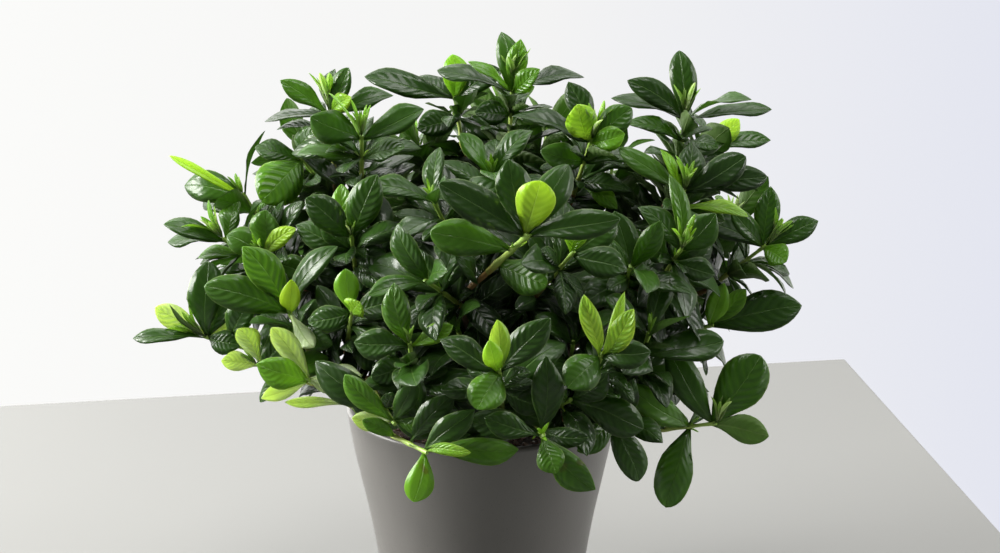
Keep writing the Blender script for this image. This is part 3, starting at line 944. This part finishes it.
def blade_position(tree, t, s, half):
    """Where a point of the blade lies: t from foot to tip, s from -1 to 1 across."""
    foot, along, across, face = (named(tree, name, "FLOAT_VECTOR") for name in VECTORS)
    length = named(tree, "length")
    roll = named(tree, "roll") * (t - 0.5)
    cos_roll, sin_roll = calc(tree, "COSINE", roll), calc(tree, "SINE", roll)
    rolled_across = across * cos_roll + face * sin_roll
    rolled_face = face * cos_roll + across * -sin_roll
    out = s * half
    fold = named(tree, "fold") * (1.25 - t * 0.5)
    arch = named(tree, "arch") * length * (t * 4.0 * (1.0 - t))
    rise = abs(out) * calc(tree, "SINE", fold) * (1.0 - abs(s) ** 3.0 * 0.35)
    swing = calc(tree, "SINE", t * 11.0 + (named(tree, "phase") + s * 0.9))
    wave = swing * named(tree, "wave") * (s * s * (1.0 - t ** 4.0))
    droop = named(tree, "droop") * length * t ** 3.0
    bend = named(tree, "bend") * length * (t * (1.0 - t))
    return (foot + across * bend + along * (length * t) + rolled_across * (out * calc(tree, "COSINE", fold))
            + rolled_face * (arch + (rise + wave) - droop))


def half_width(tree, t):
    """Half the blade's width at t: pointed at its tip, and as wide as the stalk at its foot."""
    wedge = t ** named(tree, "bulge") * math.pi
    outline = calc(tree, "MAXIMUM", calc(tree, "SINE", wedge), 0.0) ** named(tree, "blunt")
    point = 1.0 - t ** 24.0 * 0.30
    blade = named(tree, "width") * BLADE_SHARE * (outline * point)
    stalk = calc(tree, "MINIMUM", (1.0 - t) * STALK_HALF_WIDTH, named(tree, "width") * STALK_SHARE)
    return calc(tree, "MAXIMUM", blade, stalk)


def flat_sheet(tree, rows, columns):
    """A grid that knows each point's place on the blade, as leaf_t and leaf_s."""
    grid = step(tree, "MeshGrid", "Mesh", Size_X=1.0, Size_Y=1.0, Vertices_X=columns + 1.0,
                Vertices_Y=rows + 1.0)
    place = add(tree, "ShaderNodeSeparateXYZ", Vector=step(tree, "InputPosition", "Position")).outputs
    from_tip = calc(tree, "MAXIMUM", 0.5 - Value(tree, place["Y"]), 0.0)
    sheet = stored(tree, grid, "leaf_t", 1.0 - from_tip ** ROWS_TO_TIP)
    return stored(tree, sheet, "leaf_s", Value(tree, place["X"]) * -2.0)


def blades_on(tree, points, rows, columns, inner_rows, inner_columns, thickness):
    """A closed blade on each point, sharp at its edge. Its upper side and underside are marked."""
    shaded = named(tree, "inner")
    sheets = [step(tree, "InstanceOnPoints", "Instances", Points=points, Selection=chosen, Instance=sheet)
              for chosen, sheet in ((shaded < 0.5, flat_sheet(tree, rows, columns)),
                                    (shaded > 0.5, flat_sheet(tree, inner_rows, inner_columns)))]
    sheets = step(tree, "RealizeInstances", "Geometry", Geometry=joined(tree, *sheets))
    t, s = named(tree, "leaf_t"), named(tree, "leaf_s")
    half = half_width(tree, t)
    sheets = stored(tree, sheets, "leaf_x", s * half)
    upper = step(tree, "SetPosition", "Geometry", Geometry=sheets, Position=blade_position(tree, t, s, half))
    border = (1.0 - abs(s) ** 6.0) * ((1.0 - t ** 8.0) * (1.0 - (1.0 - t) ** 12.0))
    depth = border * (1.0 + (abs(s) < RIB_COLUMN) * 0.7) * thickness
    down = Value(tree, step(tree, "InputNormal", "Normal")) * -depth
    under = step(tree, "SetPosition", "Geometry", Geometry=upper, Offset=down)
    under = step(tree, "FlipFaces", "Mesh", Mesh=under)
    both = joined(tree, stored(tree, upper, "side", UPPER, "FACE"),
                  stored(tree, under, "side", UNDER, "FACE"))
    return step(tree, "MergeByDistance", "Geometry", Geometry=both, Selection=border < 0.001,
                Distance=0.01 * MM)


def growth_tree(leaf_upper, leaf_under, stem):
    """Loose points become leaf blades, and edges become round stems."""
    tree, points, sizes, made = node_tree("blades_and_stems", SIZES)
    parted = add(tree, "GeometryNodeSeparateGeometry", {"domain": "POINT"}, Geometry=points,
                 Selection=named(tree, "length") > 0.0)
    blades = blades_on(tree, parted.outputs["Selection"], *sizes[:5])
    run = step(tree, "MeshToCurve", "Curve", Mesh=parted.outputs["Inverted"])
    ring = step(tree, "CurvePrimitiveCircle", "Curve", Resolution=sizes[5], Radius=1.0)
    stems = step(tree, "CurveToMesh", "Mesh", Curve=run, Profile_Curve=ring, Scale=named(tree, "radius"),
                 Fill_Caps=True)
    everything = joined(tree, blades, stored(tree, stems, "side", STEM, "FACE"))
    grown = step(tree, "SetShadeSmooth", "Geometry", Geometry=everything, Shade_Smooth=True)
    grown = step(tree, "RealizeInstances", "Geometry", Geometry=grown)
    for side, material in ((UPPER, leaf_upper), (UNDER, leaf_under), (STEM, stem)):
        on_side = calc(tree, "COMPARE", named(tree, "side"), side, 0.5)
        grown = step(tree, "SetMaterial", "Geometry", Geometry=grown, Selection=on_side, Material=material)
    tree.links.new(grown, made.inputs["Geometry"])
    return tree


class Growth:
    """The points and edges of one grown piece, before the tree makes blades and stems of them."""

    def __init__(self, seed):
        self.rng = random.Random(seed)
        self.places = []
        self.edges = []
        self.values = {name: [] for name in VECTORS + NUMBERS}

    def point(self, place, **given):
        """Adds a point, whose values are 0 unless given."""
        self.places.append(place)
        for name, values in self.values.items():
            values.append(given.get(name, (0, 0, 0) if name in VECTORS else 0.0))

    def leaf(self, leaf, stem_radius, way, **special):
        """A blade that starts on its stem's surface, with chance or special values for its form."""
        rng = self.rng
        out = leaf.along - way * leaf.along.dot(way)
        foot = leaf.base + out.normalized() * stem_radius * 0.6 if out.length > 1e-6 else leaf.base
        tip = leaf.base + leaf.along * leaf.length
        form = {"fold": math.radians(rng.uniform(7, 26)), "arch": rng.uniform(0.04, 0.12),
                "droop": rng.uniform(-0.06, 0.18), "blunt": rng.uniform(0.54, 0.86),
                "bulge": rng.uniform(1.2, 1.65), "bend": rng.uniform(-0.24, 0.24),
                "roll": rng.uniform(-0.8, 0.8), "wave": rng.uniform(0.5, 2.4) * MM * leaf.width / (24 * MM),
                "phase": rng.uniform(0, math.tau), "chance": rng.random(), "quilt": rng.uniform(0.05, 0.8)}
        form.update(special)
        self.point(foot, foot=foot, along=(tip - foot).normalized(), across=leaf.across, face=leaf.face,
                   length=(tip - foot).length, width=leaf.width, tone=leaf.tone,
                   inner=float(leaf.inner), **form)

    def stem(self, line, radii, joints, swelling, age, youth):
        """A round stem that tapers, swells at each joint's share, and gets younger to its end."""
        first = len(self.places)
        last = len(line) - 1
        for k, place in enumerate(line):
            swell = sum(math.exp(-((k / last - joint) * last / 1.1) ** 2) for joint in joints)
            taper = (radii[0] + (radii[1] - radii[0]) * (k / last)) * MM
            self.point(place, radius=taper + swelling * min(1.0, swell), age=age - youth * k / len(line))
        self.edges += [(first + k, first + k + 1) for k in range(last)]

    def made(self, name, tree):
        """The piece's object, which keeps only the attributes that its finishes read."""
        mesh = bpy.data.meshes.new(name + "_points")
        mesh.from_pydata([tuple(p) for p in self.places], self.edges, [])
        for key, values in self.values.items():
            if key in VECTORS:
                layer = mesh.attributes.new(key, "FLOAT_VECTOR", "POINT")
                layer.data.foreach_set("vector", [x for value in values for x in value])
            else:
                mesh.attributes.new(key, "FLOAT", "POINT").data.foreach_set("value", values)
        guide = placed(name + "_points", mesh)
        made = finished(guide, tree)
        bpy.data.objects.remove(guide)
        made.name = name
        for key in (*VECTORS, *NUMBERS, "side"):
            if key in made.attributes and key not in SEEN:
                made.attributes.remove(made.attributes[key])
        return placed(name, made)


# ================================================================ the finish of leaves and stems
# Old leaves are nearly black-green and polished, new ones are lime and softer, and their backs are pale
# and matte. The midrib is pale and sunk, and the side veins sweep to the tip between swollen fields.
MARGIN = [(0.0, (0.13, 0.19, 0.09)), (0.5, (0.26, 0.40, 0.07)), (1.0, (0.50, 0.66, 0.12))]
SKIN = [(0.0, (0.24, 0.42, 0.06)), (0.26, (0.26, 0.34, 0.06)), (0.42, (0.27, 0.15, 0.045)),
        (0.75, (0.13, 0.085, 0.05)), (1.0, (0.10, 0.075, 0.052))]
RELIEF_HEIGHT = 1.2 * MM
LIGHT_THROUGH = 0.56  # share of a blade's light that comes through it
VEIN_PAIRS = 8.0
# Each side's colours against the leaf's tone, in daylight (body), with light behind it (lit) and on its
# midrib, its roughness when old and when new, its gloss, and whether fields swell (1) or sink (-1).
LEAF_SIDES = {
    "leaf_upper": {
        "body": [(0.0, (0.0120, 0.031, 0.0075)), (0.2, (0.038, 0.100, 0.013)), (0.45, (0.105, 0.272, 0.016)),
                 (0.7, (0.200, 0.430, 0.022)), (1.0, (0.430, 0.660, 0.028))],
        "lit": [(0.0, (0.07, 0.14, 0.018)), (0.2, (0.18, 0.36, 0.03)), (0.4, (0.42, 0.72, 0.07)),
                (0.6, (0.68, 0.92, 0.11)), (1.0, (0.76, 0.93, 0.15))],
        "midrib": [(0.0, (0.075, 0.150, 0.040)), (0.5, (0.17, 0.35, 0.040)), (1.0, (0.45, 0.64, 0.10))],
        "roughness": (0.29, 0.42),
        "gloss": 0.60,
        "relief": 1.0,
    },
    "leaf_under": {
        "body": [(0.0, (0.075, 0.120, 0.042)), (0.35, (0.19, 0.28, 0.10)), (0.53, (0.30, 0.44, 0.12)),
                 (0.58, (0.64, 0.74, 0.49)), (0.64, (0.66, 0.76, 0.48)), (0.70, (0.30, 0.48, 0.10)),
                 (1.0, (0.60, 0.76, 0.15))],
        "lit": [(0.0, (0.04, 0.07, 0.02)), (0.2, (0.11, 0.19, 0.05)), (0.4, (0.32, 0.47, 0.16)),
                (0.53, (0.45, 0.68, 0.16)), (0.58, (0.85, 0.93, 0.60)), (0.64, (0.89, 0.96, 0.66)),
                (0.70, (0.50, 0.76, 0.14)), (1.0, (0.85, 0.96, 0.20))],
        "midrib": [(0.0, (0.20, 0.30, 0.09)), (1.0, (0.56, 0.70, 0.28))],
        "roughness": (0.52, 0.56),
        "gloss": 0.30,
        "relief": -1.0,
    },
}


def leaf_veins():
    """Masks of a blade's midrib, side veins and margin, and the swelling between its veins."""
    group = bpy.data.node_groups.new("leaf_veins", "ShaderNodeTree")
    sockets = {"INPUT": ("Along", "Across", "Offset", "Pairs"),
               "OUTPUT": ("Midrib", "Veins", "Swell", "Margin")}
    for side, names in sockets.items():
        for name in names:
            group.interface.new_socket(name, in_out=side, socket_type="NodeSocketFloat")
    given = add(group, "NodeGroupInput").outputs
    t, across, offset, pairs = (Value(group, given[name]) for name in sockets["INPUT"])
    s = abs(across)
    run = (t - s * (0.14 + s * 0.15)) * pairs
    share = calc(group, "FRACT", run + ((across > 0.0) * 0.45 + 20.0))
    gap = 0.5 - abs(share - 0.5)
    fade = ranged(group, s, 0.75, 0.97, 1.0, 0.0) * ranged(group, t, 0.88, 0.99, 1.0, 0.0)
    rib = 1.15 * MM - t * (0.75 * MM)
    feed(group, add(group, "NodeGroupOutput"),
         Midrib=ranged(group, abs(offset) / rib, 0.25, 1.0, 1.0, 0.0),
         Veins=ranged(group, gap, 0.0, 0.16, 1.0, 0.0) * fade,
         Swell=ranged(group, gap, 0.0, 0.5, 0.0, 1.0) * fade,
         Margin=ranged(group, s, 0.91, 0.985, 0.0, 1.0))
    return group


def attribute(tree, name):
    """A number that the piece holds by name, in a shader tree."""
    return Value(tree, add(tree, "ShaderNodeAttribute", {"attribute_name": name}).outputs["Fac"])


def ramp(tree, share, stops):
    """A colour ramp of (position, (red, green, blue)) stops."""
    node = add(tree, "ShaderNodeValToRGB", Fac=share)
    elements = node.color_ramp.elements
    while len(elements) > 1:
        elements.remove(elements[-1])
    elements[0].position = stops[0][0]
    elements[0].color = (*stops[0][1], 1)
    for position, colour in stops[1:]:
        elements.new(position).color = (*colour, 1)
    return node.outputs["Color"]


def mix_shaders(tree, share, first, second, end):
    """Shows the first shader, and a share of the second, on the tree's end node."""
    mix = tree.nodes.new("ShaderNodeMixShader")
    for value, socket in zip((share, first, second), mix.inputs):
        wire(tree, value, socket)
    tree.links.new(mix.outputs["Shader"], tree.nodes[end].inputs["Surface"])


def blade_finish(name, veins):
    """The finish of a blade's upper side or of its underside."""
    side = LEAF_SIDES[name]
    material, tree, shader = new_material(name)
    tone, chance, quilt, mark = (attribute(tree, key) for key in SEEN[:4])
    relief = add(tree, "ShaderNodeGroup", {"node_tree": veins}, Along=attribute(tree, "leaf_t"),
                 Across=attribute(tree, "leaf_s"), Offset=attribute(tree, "leaf_x"), Pairs=VEIN_PAIRS).outputs
    midrib, vein, swell, margin = (Value(tree, socket) for socket in relief)
    cloud = noise_of(tree, 70.0, 3.0, 0.55)
    shade = tone + (cloud - 0.5) * 0.10 + (chance - 0.5) * 0.06
    rib_colour = ramp(tree, tone, side["midrib"])
    body = ramp(tree, shade, side["body"])
    body = blended(tree, (1.0 - swell) * quilt * 0.38, body, (0.30, 0.34, 0.30), "MULTIPLY")
    body = blended(tree, vein * 0.12, body, rib_colour)
    body = blended(tree, midrib * 0.75, body, rib_colour)
    body = blended(tree, margin * 0.8, body, ramp(tree, tone, MARGIN))
    blotch = ranged(tree, noise_of(tree, 95.0, 2.0), 0.60, 0.66, 0.0, 1.0) * mark
    body = blended(tree, blotch, body, (0.10, 0.045, 0.012))
    height = (swell * (0.05 + quilt) * (0.55 * side["relief"]) + midrib * (-0.5 * side["relief"])
              + noise_of(tree, 700.0, 2.0) * 0.04)
    normal = bump(tree, height, RELIEF_HEIGHT, 0.7)
    rough = ranged(tree, tone, 0.0, 1.0, *side["roughness"], "LINEAR") + (cloud - 0.5) * 0.16
    feed(tree, shader, Base_Color=body, Roughness=rough, Specular_IOR_Level=side["gloss"], Normal=normal)
    lit = blended(tree, swell * quilt * 0.55, ramp(tree, shade, side["lit"]), (0.34, 0.44, 0.30), "MULTIPLY")
    glow = add(tree, "ShaderNodeBsdfTranslucent", Color=lit, Normal=normal)
    mix_shaders(tree, LIGHT_THROUGH, shader.outputs["BSDF"], glow.outputs["BSDF"], "Material Output")
    return material


def stem_finish():
    """Green skin on new shoots, which turns orange-brown and then to grey, cracked bark."""
    material, tree, shader = new_material("stem")
    age = attribute(tree, "age")
    streak = noise_of(tree, 260.0, 4.0, 0.6, (1, 1, 0.3))
    feed(tree, shader, Base_Color=ramp(tree, age + (streak - 0.5) * 0.30, SKIN),
         Roughness=ranged(tree, age, 0.0, 0.8, 0.42, 0.86),
         Normal=bump(tree, streak * (age + 0.12), RELIEF_HEIGHT))
    return material


VEINS = leaf_veins()
GROWTH = growth_tree(blade_finish("leaf_upper", VEINS), blade_finish("leaf_under", VEINS), stem_finish())

# ================================================================ canes and shoots, grown together
# The canes carry the oldest, darkest leaves. A green shoot stands on each branch's end, and its newest
# leaves are still folded in a bright tuft at the top.
TUFTS = {0: 0, 1: 5, 2: 10, 3: 14}  # size of the tuft: its leaflets
TUFT_LENGTHS = {1: 16 * MM, 2: 25 * MM, 3: 31 * MM}
STOUT_STEMS = {"shoot_centre_bright": 1.45}
UPRIGHT_TUFTS = ("shoot_right_low",)
GOLDEN_TURN = 137.5  # degrees from one new leaf to the next
BUDDED = 0.6  # share of shoots with a pair of buds at the middle joint
# Leaves of a form of their own, by shoot and place in its list.
SPECIAL_FORMS = {
    ("shoot_rim_left", 0): {"mark": 1.0, "fold": 0.12, "blunt": 0.6},
    ("shoot_rim_right", 2): {"mark": 0.5, "quilt": 0.4},
    ("shoot_centre_bright", 0): {"blunt": 0.52, "bulge": 1.85, "fold": 0.10, "arch": 0.03, "quilt": 0.45,
                                 "droop": 0.0, "bend": 0.0, "roll": 0.0, "wave": 0.2 * MM},
    ("shoot_centre_bright", 5): {"blunt": 0.55, "fold": 0.22},
    ("shoot_centre_bright", 6): {"quilt": 0.8, "blunt": 0.5, "fold": 0.12, "roll": 0.1, "bend": 0.0},
    ("shoot_left_thin", 0): {"quilt": 0.05, "fold": 0.5, "wave": 0.6 * MM},
    ("shoot_rim_far_right", 0): {"blunt": 0.5, "quilt": 0.4},
    ("shoot_left_veined", 0): {"quilt": 1.3, "fold": 0.10, "blunt": 0.6},
    ("shoot_left_fan", 0): {"quilt": 1.2, "fold": 0.14},
    ("shoot_left_glossy", 0): {"quilt": 1.0, "fold": 0.12},
    ("shoot_left_fan", 2): {"quilt": 0.9},
    ("shoot_front_small", 0): {"quilt": 0.9, "fold": 0.15},
    ("shoot_front_veined", 0): {"quilt": 1.3},
    ("shoot_right_far", 0): {"quilt": 0.9, "fold": 0.2},
    ("shoot_right_low", 0): {"quilt": 1.0, "fold": -0.32, "blunt": 0.5, "bend": 0.0, "roll": 0.1},
    ("shoot_right_low", 4): {"fold": -0.6, "roll": 0.5, "droop": 0.1, "quilt": 0.6, "wave": 2.5 * MM,
                             "blunt": 0.5},
    ("shoot_right_broad", 0): {"quilt": 0.7, "fold": 0.25},
    ("shoot_front_pair", 2): {"quilt": 0.3, "blunt": 0.5},
    ("shoot_front_bright", 0): {"quilt": 1.0, "fold": 0.45, "wave": 1.4 * MM},
    ("shoot_front_bright", 2): {"quilt": 1.1, "fold": 0.35, "wave": 1.4 * MM},
    ("shoot_front_bright", 3): {"quilt": 0.3, "blunt": 0.5},
}


def tuft_leaf(base, way, spin, open_angle, length, rng):
    """A narrow new leaf, still half folded, on the shoot's very top."""
    out = Matrix.Rotation(spin, 3, way) @ way.orthogonal().normalized()
    lean = math.radians(open_angle)
    along = way * math.cos(lean) + out * math.sin(lean)
    face = (way - along * way.dot(along)) if open_angle > 3 else -out
    leaf = Leaf(base, base + along * length, length * rng.uniform(0.15, 0.25), face.normalized())
    leaf.tone = rng.uniform(0.44, 0.56)
    leaf.inner = True
    return leaf


def grow_cane(name, limbs, branches, limb_leaves, branch_leaves):
    """A cane with its limbs, the branches on them, and the older leaves of both."""
    growth = Growth(len(name))
    carried = CANES[name]
    for i, limb in enumerate(carried):
        radii = LIMB_RADII if i == 0 else SIDE_LIMB_RADII
        growth.stem(limbs[limb], radii, LIMB_JOINTS, 0.45 * MM, 1.0, 0.3)
        for leaf in limb_leaves[limb]:
            growth.leaf(leaf, LIMB_RADII[1] * MM, leaf.face)
    for shoot, (limb, *_rest) in SHOOTS.items():
        if limb in carried:
            joints = [share for share, _degrees in BRANCH_LEAVES]
            growth.stem(branches[shoot], BRANCH_RADII, joints, 0.35 * MM, 0.75, 0.35)
            for leaf in branch_leaves[shoot]:
                growth.leaf(leaf, BRANCH_RADII[1] * MM, leaf.face)
    piece = growth.made(name, GROWTH)
    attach(piece, "root")
    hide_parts(name)


def grow_tuft(growth, top, way, size):
    """New leaves folded round a shoot's tip, wider open and longer to the outside."""
    rng = growth.rng
    for k in range(TUFTS[size]):
        share = k / TUFTS[size]
        angle = 4 + 24 * share + rng.uniform(-4, 4)
        length = TUFT_LENGTHS[size] * (0.7 + 0.4 * share) * rng.uniform(0.8, 1.15)
        small = tuft_leaf(top, way, math.radians(GOLDEN_TURN) * k, angle, length, rng)
        growth.leaf(small, 0.5 * MM, way, fold=0.6, arch=-0.05 + 0.12 * share, quilt=0.2)


def grow_shoot(name, index, leaves):
    """A green stem with its leaves, its tuft, and often a pair of buds at its middle joint."""
    base, top, way = twig_of(name)
    growth = Growth(5000 + index)
    line = [base.lerp(top, k / (TWIG_SAMPLES - 1)) for k in range(TWIG_SAMPLES)]
    stout = STOUT_STEMS.get(name, 1.0)
    growth.stem(line, [radius * stout for radius in TWIG_RADII], [1.0 - joint["down"] for joint in JOINTS],
                0.45 * stout * MM, 0.34, 0.32)
    for k, leaf in enumerate(leaves):
        growth.leaf(leaf, TWIG_RADII[1] * MM, way, **SPECIAL_FORMS.get((name, k), {}))
    upright = way * 0.3 + UP if name in UPRIGHT_TUFTS else way + UP * 0.45
    grow_tuft(growth, top, upright.normalized(), SHOOTS[name][3])
    if growth.rng.random() < BUDDED:
        joint = top.lerp(base, JOINTS[1]["down"])
        for spin in (0.0, math.pi):
            bud = tuft_leaf(joint, way, spin + index, 35, growth.rng.uniform(7, 12) * MM, growth.rng)
            growth.leaf(bud, TWIG_RADII[0] * MM, way, fold=0.5, quilt=0.0)
    piece = growth.made(name, GROWTH)
    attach(piece, "root")
    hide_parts(name)


coarse_limbs = limb_lines(2)
coarse_branches = branch_lines(coarse_limbs, BRANCH_POINTS)
shoot_leaves, branch_leaves, limb_leaves = grow_leaves(coarse_limbs, coarse_branches)
fine_limbs = limb_lines(9)
fine_branches = {}
for shoot, line in coarse_branches.items():
    start, start_way = fork_on(coarse_limbs[SHOOTS[shoot][0]], twig_of(shoot)[0])
    fine_branches[shoot] = bow(start, start_way, line[-2], twig_of(shoot)[2], 18) + [line[-1]]
for name in CANES:
    grow_cane(name, fine_limbs, fine_branches, limb_leaves, branch_leaves)
for index, name in enumerate(SHOOTS):
    grow_shoot(name, index, shoot_leaves[name])

# ================================================================ floor, light and camera
# The planter stands on a pale satin table top whose right and back edges are in sight. The room is white,
# with a large soft window behind the shrub and another to its left, and a weaker wall to its right.
TABLE_CORNER = Vector((0.419, 0.653, 0.0))
TABLE_EDGES = (math.radians(9.6), math.radians(4.3))  # turns of the back edge and of the right edge
TABLE_SIZE = Vector((2.6, 2.4, 28 * MM))
LIGHT_TARGET = Vector((0, 0, 0.25))
# Each light's place, size, watts and blue.
LIGHTS = {
    "window": ((-0.9, 1.6, 1.5), (1.6, 1.2), 24, 0.96),
    "left_window": ((-1.8, -0.1, 1.1), (0.8, 0.9), 102, 0.96),
    "right_wall": ((1.6, -0.1, 0.9), (0.8, 0.9), 18, 0.97),
    "ceiling": ((0.1, -0.1, 1.9), (1.0, 0.8), 21, 0.96),
}
WALL_COLOURS = [(0.0, (0.965, 0.965, 0.95)), (0.55, (0.90, 0.90, 0.90)), (1.0, (0.775, 0.790, 0.870))]
SHADOW_LIGHT = 0.17  # what comes from the room's darker side
CAMERA_PLACE = (0.0134, -1.105, 0.587)
CAMERA_DOWN = 15.5  # degrees


def build_floor():
    """The table top, a slab with eased edges."""
    made = bmesh.new()
    bmesh.ops.create_cube(made, size=1.0)
    bmesh.ops.scale(made, vec=TABLE_SIZE, verts=made.verts)
    bmesh.ops.translate(made, vec=TABLE_SIZE / -2, verts=made.verts)
    bmesh.ops.bevel(made, geom=made.edges, offset=4 * MM, segments=3, affect="EDGES", profile=0.5)
    mesh = bpy.data.meshes.new("floor")
    made.to_mesh(mesh)
    made.free()
    back, side = TABLE_EDGES
    turn = Matrix(((math.cos(back), -math.sin(side), 0), (math.sin(back), math.cos(side), 0), (0, 0, 1)))
    mesh.transform(Matrix.Translation(TABLE_CORNER) @ turn.to_4x4())
    material, tree, shader = new_material("pale_table_top")
    colour = blended(tree, noise_of(tree, 1.6, 2.0), (0.150, 0.151, 0.146), (0.170, 0.171, 0.165))
    feed(tree, shader, Base_Color=colour, Roughness=0.75, Specular_IOR_Level=0.3)
    mesh.materials.append(material)
    floor = placed("floor", mesh)


def build_lights():
    """Soft rectangles that face the shrub and aren't seen themselves."""
    for name, (place, size, watts, blue) in LIGHTS.items():
        light = bpy.data.lights.new(name, "AREA")
        light.shape = "RECTANGLE"
        light.size, light.size_y = size
        light.energy = watts
        light.color = (1.0, 0.99, blue)
        obj = placed(name, light)
        obj.location = place
        obj.rotation_euler = (LIGHT_TARGET - Vector(place)).to_track_quat("-Z", "Y").to_euler()
        obj.visible_camera = False


def build_surround():
    """Seen, a white wall that turns a little grey and cool to the right. It lights most from behind."""
    world = bpy.data.worlds.new("surround")
    bpy.context.scene.world = world
    world.use_nodes = True
    tree = world.node_tree
    place = add(tree, "ShaderNodeTexCoord").outputs["Generated"]
    x, y, z = (Value(tree, way) for way in add(tree, "ShaderNodeSeparateXYZ", Vector=place).outputs)
    behind = ranged(tree, y, -0.55, 0.4, 0.0, 1.0)
    sideways = ranged(tree, x, -1.0, 1.0, 4.2, 2.0, "LINEAR")
    overhead = ranged(tree, z, 0.3, 0.95, 1.0, 0.5)
    back = tree.nodes["Background"]
    feed(tree, back, Color=(1.0, 0.995, 0.98), Strength=(behind * sideways + SHADOW_LIGHT) * overhead)
    wall = ramp(tree, ranged(tree, x, -0.30, 0.30, 0.0, 1.0, "LINEAR"), WALL_COLOURS)
    seen = add(tree, "ShaderNodeBackground", Color=wall)
    in_sight = add(tree, "ShaderNodeLightPath").outputs["Is Camera Ray"]
    mix_shaders(tree, in_sight, back.outputs["Background"], seen.outputs["Background"], "World Output")


def build_camera():
    """A plain lens a little above the shrub, looking down at it."""
    lens = bpy.data.cameras.new("camera")
    lens.lens = 56.7
    lens.sensor_width = 36.0
    camera = placed("camera", lens)
    camera.location = CAMERA_PLACE
    camera.rotation_euler = (math.radians(90 - CAMERA_DOWN), 0, 0)
    bpy.context.scene.camera = camera


build_floor()
build_lights()
build_surround()
build_camera()
bpy.context.scene.view_settings.view_transform = "Standard"
